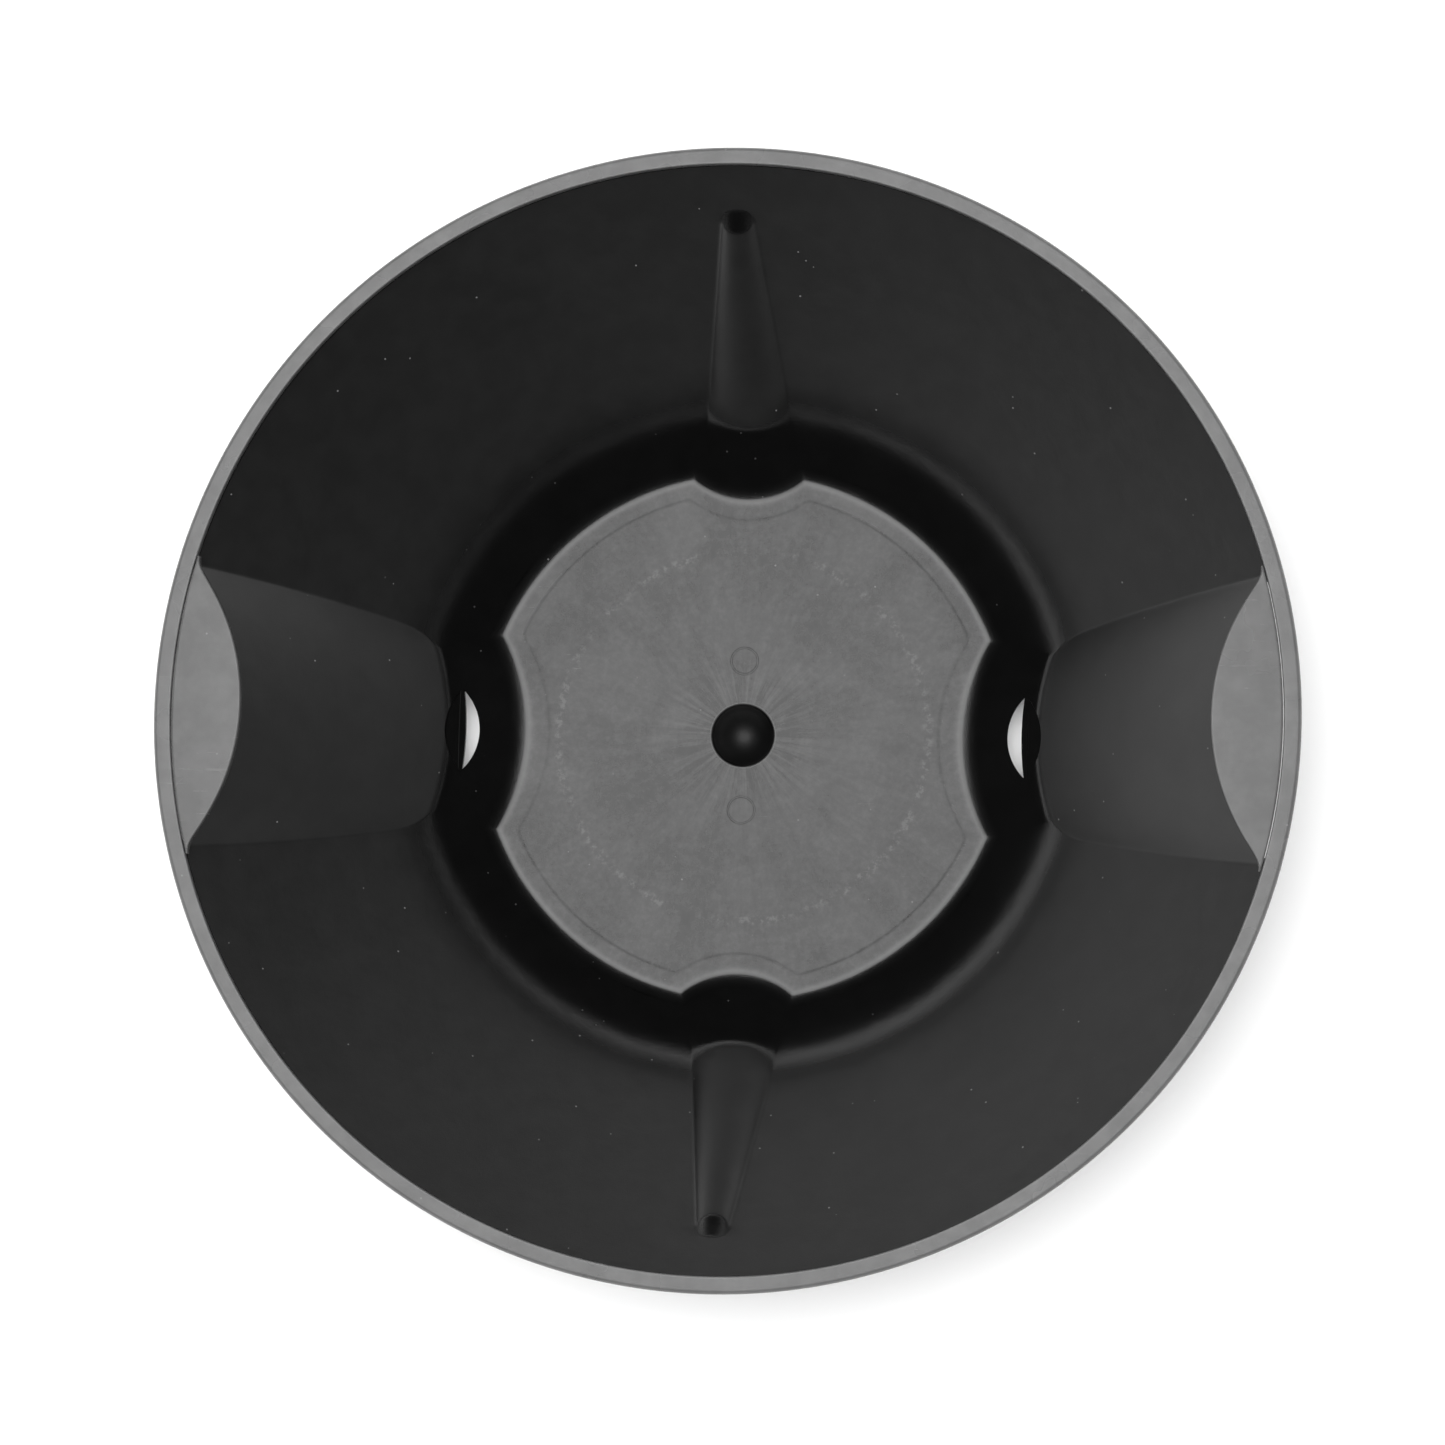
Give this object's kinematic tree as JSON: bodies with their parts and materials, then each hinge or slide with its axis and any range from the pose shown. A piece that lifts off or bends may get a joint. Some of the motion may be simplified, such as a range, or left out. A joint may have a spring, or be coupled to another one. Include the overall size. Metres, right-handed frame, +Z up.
{
  "type": "gold pan",
  "caption": "Round black moulded prospecting pan with a flat scalloped floor, a sloped wall, crescent grips over finger channels, tapered ribs, drain slots and a rim ring.",
  "frame": {"origin": "middle of the surface that the pan stands on", "axes": "+Z up out of the open bowl; X runs through the two grips and their finger channels; Y runs through the two tapered ribs"},
  "size_m": [0.356, 0.356, 0.0796],
  "materials": {
    "pan_plastic": "black moulded polypropylene, satin, lightly scuffed",
    "rim_plastic": "black moulded polypropylene, satin, worn at the edge",
    "grip_plastic": "black moulded polypropylene, satin, rubbed by hands"
  },
  "bodies": {
    "root": {"pan_body": "pan_plastic", "rim_ring": "rim_plastic", "left_grip_plate": "grip_plastic", "right_grip_plate": "grip_plastic"}
  },
  "joints": []
}
